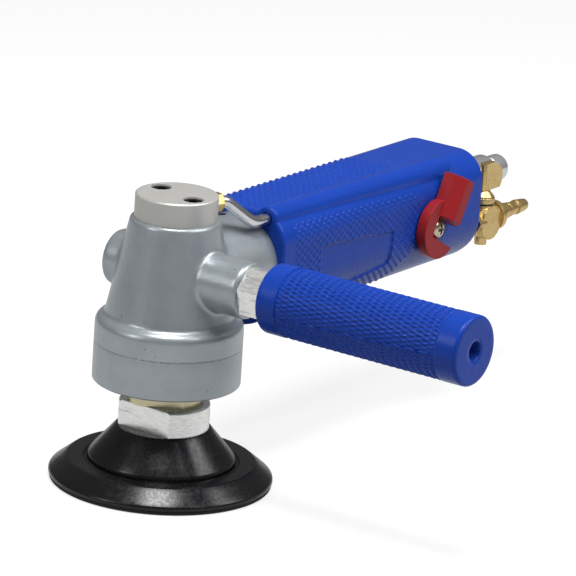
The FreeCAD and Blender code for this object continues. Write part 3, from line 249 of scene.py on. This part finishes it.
def sleeveOutline(draw):
    # near side, near corner, top, far corner, far side, belly: points and outward normals
    s = sleeve
    width, top, belly = (s[k] - draw for k in ("halfWidth", "top", "belly"))
    corner = s["corner"] + draw  # the corners open out as the rear end draws in
    side, bend = s["top"] - s["corner"] - s["belly"], math.pi / 2 * s["corner"]
    lengths = [side, bend, 2 * (s["halfWidth"] - s["corner"]), bend, side, math.pi * s["halfWidth"]]
    points, normals = [], []
    for part, length in enumerate(lengths):
        count = max(2, round(length / s["step"]))
        t = np.arange(count) / count
        if part == 0:
            p = np.c_[np.full(count, -width), belly + t * (top - corner - belly)]
            n = np.c_[np.full(count, -1.0), np.zeros(count)]
        elif part == 2:
            p = np.c_[(width - corner) * (2 * t - 1), np.full(count, top)]
            n = np.c_[np.zeros(count), np.ones(count)]
        elif part == 4:
            p = np.c_[np.full(count, width), top - corner + t * (belly - top + corner)]
            n = np.c_[np.ones(count), np.zeros(count)]
        else:
            start, sweep, centre, radius = {
                1: (math.pi, math.pi / 2, (-width + corner, top - corner), corner),
                3: (math.pi / 2, math.pi / 2, (width - corner, top - corner), corner),
                5: (0.0, math.pi, (0, belly), width),
            }[part]
            a = start - t * sweep
            n = np.c_[np.cos(a), np.sin(a)]
            p = np.array(centre) + n * radius
        points.append(p)
        normals.append(n)
    return np.vstack(points), np.vstack(normals)


def wave(t):  # 0 at whole numbers, 1 half way between
    return (1 - np.cos(2 * math.pi * t)) / 2


def quarter(radius, reach):  # how far a quarter-round edge lies back at this reach from its end
    return radius - math.sqrt(max(0, radius ** 2 - max(0, radius - reach) ** 2))


def ease(t):  # a soft ramp from 0 to 1
    t = np.clip(t, 0, 1)
    return t * t * (3 - 2 * t)


def ribAt(x):  # the rib swells and sinks a little towards the rear
    s = sleeve
    run = s["ribEnd"] - s["ribRadius"] - s["ribSwell"] - s["front"]
    share = min(1.0, (x - s["front"]) / run)
    radius = s["ribRadius"] + s["ribSwell"] * share
    return s["ribY"] - s["ribShift"] * share, s["ribZ"] - s["ribDrop"] * share, radius


def sleeveRelief(x, y, z, along):
    # height of the moulded knurl above the plain skin, in mm; along is the way round the section
    s = sleeve
    foot, turn = s["knurlLow"]
    slope = (s["knurlRear"] - s["knurlRearLow"]) / (turn - foot)
    rear = np.where(z > turn, s["knurlRear"], s["knurlRearLow"] + slope * (z - foot))
    side, flat = s["topBlend"]
    onTop = ease((z - side) / (flat - side))
    front = s["knurlFront"] + (s["topFront"] - s["knurlFront"]) * onTop
    inside = ease((x - front) / s["knurlFade"]) * ease((rear - x) / s["knurlFade"])
    a, b = s["cell"]
    height = s["sideHeight"] + (s["topHeight"] - s["sideHeight"]) * onTop
    domes = (wave(x / a + along / b) * wave(x / a - along / b)) ** s["domePower"]  # in wide valleys
    knurl = height * domes
    ribY, ribZ, ribRadius = ribAt(x)
    byRib = np.hypot(y - ribY, z - ribZ)
    knurl = knurl * ease((byRib - ribRadius - s["ribClear"]) / s["knurlFade"])
    share = (x - s["panelFront"]) / (s["panelRear"] - s["panelFront"])
    high = s["panelTop"][0] + share * (s["panelTop"][1] - s["panelTop"][0])
    low = s["panelFoot"][0] + share * share * (s["panelFoot"][1] - s["panelFoot"][0])
    edge = np.minimum(np.minimum(x - s["panelFront"], s["panelRear"] - x), np.minimum(high - z, z - low))
    panel = np.where(y < 0, ease(edge / s["panelEdge"] + 0.5), 0)
    return knurl * inside * (1 - panel) - s["panelDepth"] * panel


def ribRelief(x, p, n):
    # height of the rib above the plain skin, in mm, with its rounded rear end
    s = sleeve
    ribY, ribZ, radius = ribAt(x)
    back = np.maximum(0, x - (s["ribEnd"] - radius))
    r2 = radius ** 2 - back ** 2
    if r2 <= s["ribTip"]:
        return np.zeros(len(p))
    d = p - np.array((ribY, ribZ))
    along = (d * n).sum(1)
    inner = along ** 2 - (d ** 2).sum(1) + r2
    reach = np.where(inner > 0, -along + np.sqrt(np.maximum(inner, 0)), s["ribMiss"])
    f = s["ribFoot"]  # soft foot where the rib meets the skin
    return np.log1p(np.exp(np.clip(reach / f, -30, 30))) * f


def buildSleeve():
    s = sleeve
    base = sleeveOutline(0)[0]
    steps = np.linalg.norm(np.roll(base, -1, 0) - base, axis=1)
    along = np.r_[0, np.cumsum(steps)[:-1]]
    arc = [1 - math.cos(k * math.pi / 2 / s["rounds"]) for k in range(s["rounds"] + 1)]
    first, last = s["front"] + s["frontRound"], s["rear"] - s["rearRound"]
    xs = [s["front"] + s["frontRound"] * t for t in arc]
    xs += list(np.linspace(first, last, round((last - first) / s["step"]))[1:])
    xs += [s["rear"] - s["rearRound"] * t for t in arc[-2::-1]]
    rows = []
    for x in xs:
        p, n = sleeveOutline(s["inset"] * max(0.0, x - s["rear"] + s["taper"]) / s["taper"])
        pull = quarter(s["frontRound"], x - s["front"]) + quarter(s["rearRound"], s["rear"] - x)
        h = sleeveRelief(x, p[:, 0], p[:, 1], along) + ribRelief(x, p, n) - pull
        rows.append(np.c_[np.full(len(p), x), p + n * h[:, None]])
    lip = p + n * (h[:, None] - s["rimTurn"])  # keeps the rear wall's shading flat
    rows.append(np.c_[np.full(len(p), x), lip])
    count = len(base)
    made = bmesh.new()
    grid = [[made.verts.new(Vector(p) * mm) for p in row] for row in rows]
    for a, b in zip(grid, grid[1:]):
        for k in range(count):
            j = (k + 1) % count
            made.faces.new((a[k], b[k], b[j], a[j]))
    made.faces.new(grid[-1])
    rim = [made.edges.get((grid[0][k], grid[0][(k + 1) % count])) for k in range(count)]

    def ring(x, y, z, radius, n):
        angles = [2 * math.pi * k / n for k in range(n)]
        spots = [Vector((x, y + radius * math.cos(a), z + radius * math.sin(a))) * mm for a in angles]
        return [made.verts.new(p) for p in spots]

    def pit(y, z, radius, n, depth):
        mouth = ring(s["front"], y, z, radius, n)
        floor = ring(s["front"] + depth, y, z, radius, n)
        edges = [made.edges.new((mouth[k], mouth[(k + 1) % n])) for k in range(n)]
        for k in range(n):
            j = (k + 1) % n
            made.faces.new((mouth[k], mouth[j], floor[j], floor[k]))
        made.faces.new(floor)
        return edges

    loops = rim + pit(0, s["neckZ"], s["neckRadius"], s["neckSides"], s["neckDepth"])
    loops += pit(s["ribY"], s["ribZ"], s["mouthRadius"], s["mouthSides"], s["mouthDepth"])
    bmesh.ops.triangle_fill(made, use_beauty=True, edges=loops)
    bmesh.ops.recalc_face_normals(made, faces=made.faces)
    mesh = bpy.data.meshes.new("sleeve_moulding")
    made.to_mesh(mesh)
    made.free()
    placePiece("sleeve_moulding", mesh, "tool_body", bluePvc, "handle_sleeve")
    mesh.set_sharp_from_angle(angle=math.radians(s["sharp"]))


buildSleeve()
print("sleeve built")


# Blue grip of the side handle, turned about its own axis, in mm
grip = {
    "axisZ": 96.7, "start": -55.3, "length": 103.8, "body": 14.9, "band": 15.6, "edge": 1.6,
    "innerBand": 10.5, "outerBand": 11.0, "hole": 4.3, "holeDepth": 24.0, "bore": 5.0, "step": 0.5,
    "stepRamp": 0.35, "faceRings": (12.0, 9.0, 6.5), "holeBreak": 0.4,
    "cells": 48, "cellLength": 7.3, "cellPoints": 8, "height": 0.7, "domePower": 1.2, "knurlFade": 1.5,
    "seamAngle": (197.0, 181.0), "seamWidth": 0.55, "seamHeight": 0.1, "seamOnKnurl": 0.85,
    "rounds": 6, "bandRows": 14, "sharp": 55,
}


def gripProfile():
    # radius and distance along the axis, from the stud's bore round to the floor of the end hole
    g = grip
    turns = [k * math.pi / 2 / g["rounds"] for k in range(g["rounds"] + 1)]
    inner, outer = g["band"] - g["edge"], g["length"] - g["edge"]
    last = g["length"] - g["outerBand"]
    rows = [(g["bore"], 0.0)]
    rows += [(inner + g["edge"] * math.sin(a), g["edge"] * (1 - math.cos(a))) for a in turns]
    rows += [(g["band"], t) for t in np.linspace(g["edge"], g["innerBand"] - g["stepRamp"], g["bandRows"])[1:]]
    rows += [(g["body"], t) for t in np.arange(g["innerBand"], last, g["step"])]
    rows += [(g["band"], t) for t in np.linspace(last + g["stepRamp"], outer, g["bandRows"])]
    rows += [(inner + g["edge"] * math.cos(a), outer + g["edge"] * math.sin(a)) for a in turns[1:]]
    rows += [(r, g["length"]) for r in g["faceRings"] + (g["hole"] + g["holeBreak"],)]
    rows += [(g["hole"], g["length"] - g["holeBreak"]), (g["hole"], g["length"] - g["holeDepth"])]
    return rows


def buildGrip():
    g = grip
    rows = gripProfile()
    count = g["cellPoints"] * g["cells"]
    turn = np.arange(count) / count
    points = []
    low, high = g["innerBand"], g["length"] - g["outerBand"]
    for r, t in rows:
        radius = np.full(count, r)
        if r == g["body"]:
            a, b = t / g["cellLength"] + turn * g["cells"], t / g["cellLength"] - turn * g["cells"]
            soft = ease((t - low) / g["knurlFade"]) * ease((high - t) / g["knurlFade"])
            radius = radius + g["height"] * (wave(a) * wave(b)) ** g["domePower"] * soft
        if r >= g["body"]:
            seam = g["seamAngle"][0] + (g["seamAngle"][1] - g["seamAngle"][0]) * t / g["length"]
            away = np.abs((turn * 360 - seam + 180) % 360 - 180) * math.pi / 180 * r
            crest = r + (g["height"] * g["seamOnKnurl"] if r == g["body"] else g["seamHeight"])
            radius = np.where(away < g["seamWidth"] / 2, np.maximum(radius, crest), radius)
        radius = np.minimum(radius, g["band"] + g["seamHeight"])
        angle = 2 * math.pi * turn
        y = np.full(count, g["start"] - t)
        points.append(np.c_[radius * np.cos(angle), y, g["axisZ"] + radius * np.sin(angle)])
    faces = []
    for k in range(len(rows) - 1):
        for i in range(count):
            j = (i + 1) % count
            faces.append((k * count + i, k * count + j, (k + 1) * count + j, (k + 1) * count + i))
    faces.append(tuple(range(count))[::-1])
    faces.append(tuple((len(rows) - 1) * count + i for i in range(count)))
    mesh = bpy.data.meshes.new("side_grip_moulding")
    mesh.from_pydata([tuple(p) for p in np.vstack(points) * mm], [], faces)
    made = bmesh.new()
    made.from_mesh(mesh)
    bmesh.ops.recalc_face_normals(made, faces=made.faces)
    made.to_mesh(mesh)
    made.free()
    placePiece("side_grip_moulding", mesh, "tool_body", bluePvc, "side_handle_grip")
    mesh.set_sharp_from_angle(angle=math.radians(g["sharp"]))


buildGrip()
print("side grip built")


# Lever screw: raised cross-recess head on the plain shank of the CAD, in mm
screw = {
    "head": 4.7, "underside": 3.0, "rim": 0.7, "crown": 3.3, "shank": 2.5, "reach": 10.0, "sides": 48,
    "arm": 6.6, "slot": 1.7, "deep": 1.9, "cutter": 4.0, "armDraft": 0.55, "slotDraft": 0.8,
    "rounds": 9, "sharp": 35,
}


def buildLeverScrew():
    c = screw
    low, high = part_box("lever_screw")
    x, z = (low[0] + high[0]) / 2 / mm, (low[2] + high[2]) / 2 / mm
    seat = low[1] / mm + c["underside"]
    rows = [(c["shank"], seat + c["reach"]), (c["shank"], seat)]
    rows += [(c["head"], seat), (c["head"], seat - c["rim"])]
    for k in range(1, c["rounds"]):
        a = k * math.pi / 2 / c["rounds"]
        rows.append((c["head"] * math.cos(a), seat - c["rim"] - (c["crown"] - c["rim"]) * math.sin(a)))
    made = bmesh.new()
    count = c["sides"]
    angles = [2 * math.pi * k / count for k in range(count)]
    grid = []
    for r, y in rows:
        ring = [Vector((x + r * math.cos(a), y, z + r * math.sin(a))) * mm for a in angles]
        grid.append([made.verts.new(p) for p in ring])
    for a, b in zip(grid, grid[1:]):
        for k in range(count):
            made.faces.new((a[k], b[k], b[(k + 1) % count], a[(k + 1) % count]))
    made.faces.new(grid[0])
    made.faces.new(grid[-1])
    bmesh.ops.recalc_face_normals(made, faces=made.faces)
    blankMesh = bpy.data.meshes.new("lever_screw_blank")
    made.to_mesh(blankMesh)
    made.free()
    blank = bpy.data.objects.new("lever_screw_blank", blankMesh)
    scene.collection.objects.link(blank)
    cutters = []
    for wide, tall in ((c["arm"], c["slot"]), (c["slot"], c["arm"])):
        made = bmesh.new()
        bmesh.ops.create_cube(made, size=1.0)
        bmesh.ops.scale(made, verts=made.verts, vec=Vector((wide, c["cutter"], tall)) * mm)
        for v in made.verts:  # the recess narrows to its floor
            if v.co.y > 0:
                v.co.x *= c["armDraft"] if wide > tall else c["slotDraft"]
                v.co.z *= c["armDraft"] if tall > wide else c["slotDraft"]
        middle = seat - c["crown"] + c["deep"] - c["cutter"] / 2
        bmesh.ops.translate(made, verts=made.verts, vec=Vector((x, middle, z)) * mm)
        cutterMesh = bpy.data.meshes.new("recess")
        made.to_mesh(cutterMesh)
        made.free()
        cutter = bpy.data.objects.new("recess", cutterMesh)
        scene.collection.objects.link(cutter)
        cut = blank.modifiers.new("recess", "BOOLEAN")
        cut.object = cutter
        cut.operation = "DIFFERENCE"
        cut.solver = "EXACT"
        cutters.append(cutter)
    mesh = bakedMesh(blank)
    for scrap in cutters + [blank]:
        bpy.data.objects.remove(scrap)
    placePiece("lever_screw_head", mesh, "throttle", nickelPlate, "lever_screw")
    mesh.set_sharp_from_angle(angle=math.radians(c["sharp"]))


buildLeverScrew()
print("lever screw built")


# Head casting, in mm: the CAD form with its joins run together as sand casting leaves them
casting = {
    "weld": 0.002, "voxel": 0.75, "relax": 0.5, "passes": 10, "radius": 33.0, "split": 64.25,
    "rimReach": 1.2, "rimHeight": 3.0, "faceHeight": 0.7,
}


def buildCasting():
    c = casting
    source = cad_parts["motor_housing"]
    rough = source.data.copy()
    made = bmesh.new()
    made.from_mesh(rough)
    bmesh.ops.remove_doubles(made, verts=made.verts, dist=c["weld"] * mm)
    made.to_mesh(rough)
    made.free()
    blank = bpy.data.objects.new("casting_blank", rough)
    scene.collection.objects.link(blank)
    remesh = blank.modifiers.new("skin", "REMESH")
    remesh.mode = "VOXEL"
    remesh.voxel_size = c["voxel"] * mm
    relax = blank.modifiers.new("relax", "SMOOTH")
    relax.factor = c["relax"]
    relax.iterations = c["passes"]
    mesh = bakedMesh(blank)
    bpy.data.objects.remove(blank)
    for v in mesh.vertices:  # the machined joint face stays square where the clamp ring meets it
        reach = math.hypot(v.co.x, v.co.y) / mm
        if reach > c["radius"] - c["rimReach"] and v.co.z < (c["split"] + c["rimHeight"]) * mm:
            v.co.x *= c["radius"] / reach
            v.co.y *= c["radius"] / reach
            if v.co.z < (c["split"] + c["faceHeight"]) * mm:
                v.co.z = c["split"] * mm
    placePiece("head_casting", mesh, "tool_body", castAluminium, "motor_housing")


buildCasting()
print("head casting built")


# Floor and sky, in metres; the floor's lift makes it white to the camera and keeps the shadow
studio = {
    "floor": "#9c9c9c", "floorRough": 0.9, "floorSheen": 0.1, "floorLift": 0.70, "mirrorShare": 0.60,
    "floorSize": 6.0, "floorDrop": 0.0003, "horizon": 0.12, "zenith": 0.28,
}


def buildStudio():
    mesh = bpy.data.meshes.new("floor")
    h = studio["floorSize"] / 2
    mesh.from_pydata([(-h, -h, 0), (h, -h, 0), (h, h, 0), (-h, h, 0)], [], [(0, 1, 2, 3)])
    floor = bpy.data.objects.new("floor", mesh)
    scene.collection.objects.link(floor)
    floor.location.z = -studio["floorDrop"]
    paper = bpy.data.materials.new("white paper sweep")
    paper.use_nodes = True
    tree = paper.node_tree
    tree.nodes.clear()
    ray = addNode(tree, "ShaderNodeLightPath")
    mirrored = addNode(tree, "ShaderNodeMath", {"operation": "MAXIMUM"})
    tree.links.new(ray.outputs["Is Glossy Ray"], mirrored.inputs[0])
    tree.links.new(ray.outputs["Is Transmission Ray"], mirrored.inputs[1])
    # metal sees a dimmer white than the camera does
    through = addNode(tree, "ShaderNodeMath", {"operation": "MULTIPLY_ADD"})
    tree.links.new(mirrored.outputs[0], through.inputs[0])
    through.inputs[1].default_value = studio["mirrorShare"]
    tree.links.new(ray.outputs["Is Camera Ray"], through.inputs[2])
    lift = addNode(tree, "ShaderNodeMath", {"operation": "MULTIPLY"})
    tree.links.new(through.outputs[0], lift.inputs[0])
    lift.inputs[1].default_value = studio["floorLift"]
    shader = addNode(tree, "ShaderNodeBsdfPrincipled",
                     {"Base Color": linear(studio["floor"]), "Roughness": studio["floorRough"],
                      "Specular IOR Level": studio["floorSheen"], "Emission Color": (1, 1, 1, 1)},
                     {"Emission Strength": lift.outputs[0]})
    addNode(tree, "ShaderNodeOutputMaterial", None, {"Surface": shader.outputs["BSDF"]})
    mesh.materials.append(paper)
    world = bpy.data.worlds.new("studio")
    scene.world = world
    world.use_nodes = True
    tree = world.node_tree
    tree.nodes.clear()
    way = addNode(tree, "ShaderNodeTexCoord")
    split = addNode(tree, "ShaderNodeSeparateXYZ", None, {"Vector": way.outputs["Generated"]})
    glow = addNode(tree, "ShaderNodeMapRange", {"To Min": studio["horizon"], "To Max": studio["zenith"]},
                   {"Value": split.outputs["Z"]})
    sky = addNode(tree, "ShaderNodeBackground", {"Color": (1, 1, 1, 1)}, {"Strength": glow.outputs["Result"]})
    addNode(tree, "ShaderNodeOutputWorld", None, {"Surface": sky.outputs["Background"]})


# Soft studio light: places and sizes in metres, power in watts
lampAim = (0.08, -0.04, 0.08)
lamps = {
    "left softbox": {"at": (-1.1, 0.5, 0.8), "size": (0.35, 0.6), "power": 3.5},
    "top softbox": {"at": (-0.2, -0.12, 1.35), "size": (0.42, 0.42), "power": 14.0},
    "right softbox": {"at": (0.45, -0.95, 1.2), "size": (1.0, 0.9), "power": 15.0},
}


def buildLamps():
    aim = Vector(lampAim)
    for name, lamp in lamps.items():
        data = bpy.data.lights.new(name, "AREA")
        data.shape = "RECTANGLE"
        data.size, data.size_y = lamp["size"]
        data.energy = lamp["power"]
        made = bpy.data.objects.new(name, data)
        made.location = lamp["at"]
        made.rotation_mode = "QUATERNION"
        made.rotation_quaternion = (aim - Vector(lamp["at"])).to_track_quat("-Z", "Y")
        scene.collection.objects.link(made)


# Camera matched to the photograph: a long lens, slightly rolled
view = {
    "at": (-1.627776, -1.171954, 0.693536), "azimuth": -55.706, "elevation": 16.695, "roll": 3.857,
    "lens": 297.77, "sensor": 36.0, "far": 50,
}


def buildCamera():
    az, el, roll = (math.radians(view[k]) for k in ("azimuth", "elevation", "roll"))
    back = Vector((math.sin(az) * math.cos(el), -math.cos(az) * math.cos(el), math.sin(el)))
    right = Vector((math.cos(az), math.sin(az), 0))
    up = right.cross(-back)
    across = right * math.cos(roll) + up * math.sin(roll)
    upright = up * math.cos(roll) - right * math.sin(roll)
    data = bpy.data.cameras.new("camera")
    data.sensor_width = view["sensor"]
    data.sensor_fit = "HORIZONTAL"
    data.lens = view["lens"]
    data.clip_end = view["far"]
    made = bpy.data.objects.new("camera", data)
    turn = Matrix((across, upright, back)).transposed().to_4x4()
    turn.translation = Vector(view["at"])
    made.matrix_world = turn
    scene.collection.objects.link(made)
    scene.camera = made


buildStudio()
buildLamps()
buildCamera()
scene.view_settings.view_transform = "Standard"
print("studio ready")
